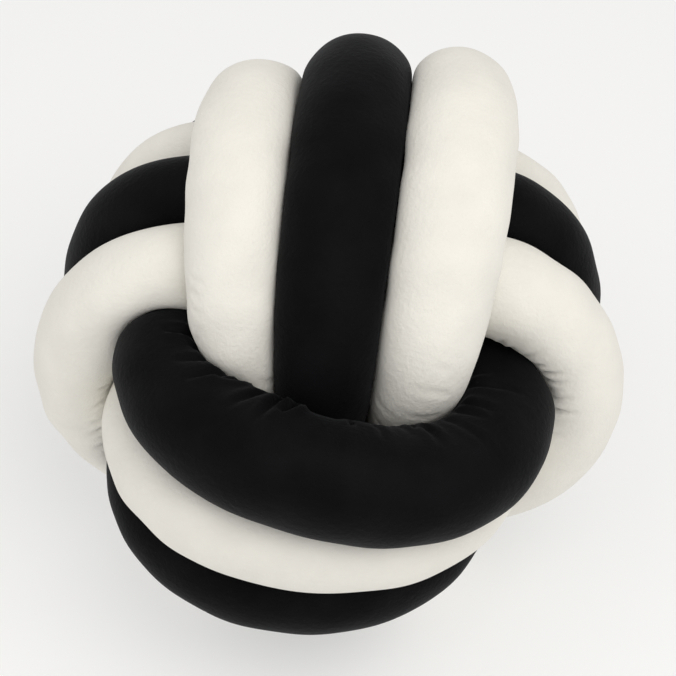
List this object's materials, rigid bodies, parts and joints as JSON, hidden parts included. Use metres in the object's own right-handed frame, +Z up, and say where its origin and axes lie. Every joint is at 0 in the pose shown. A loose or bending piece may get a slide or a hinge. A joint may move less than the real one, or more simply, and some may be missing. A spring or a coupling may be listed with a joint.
{
  "type": "knot cushion",
  "caption": "Round knot cushion of stuffed plush tubes in black and off-white, laid side by side in bands that weave over and under one another into a ball.",
  "frame": {"origin": "on the floor under the middle of the ball's bounding box", "axes": "+Z up, through the band that runs over the top; -Y towards the front, where the middle band wraps across; +X to the right as seen from the front"},
  "size_m": [0.306, 0.3147, 0.3028],
  "materials": {
    "white_plush": "short soft pile, off-white, matt with a faint sheen",
    "black_plush": "short soft pile, black, matt with a faint sheen"
  },
  "bodies": {
    "root": {"top_left": "white_plush", "top_middle": "black_plush", "top_right": "white_plush", "front_upper": "black_plush", "front_middle": "white_plush", "front_lower": "black_plush", "side_front": "white_plush", "side_middle": "black_plush", "side_back": "white_plush"}
  },
  "joints": []
}
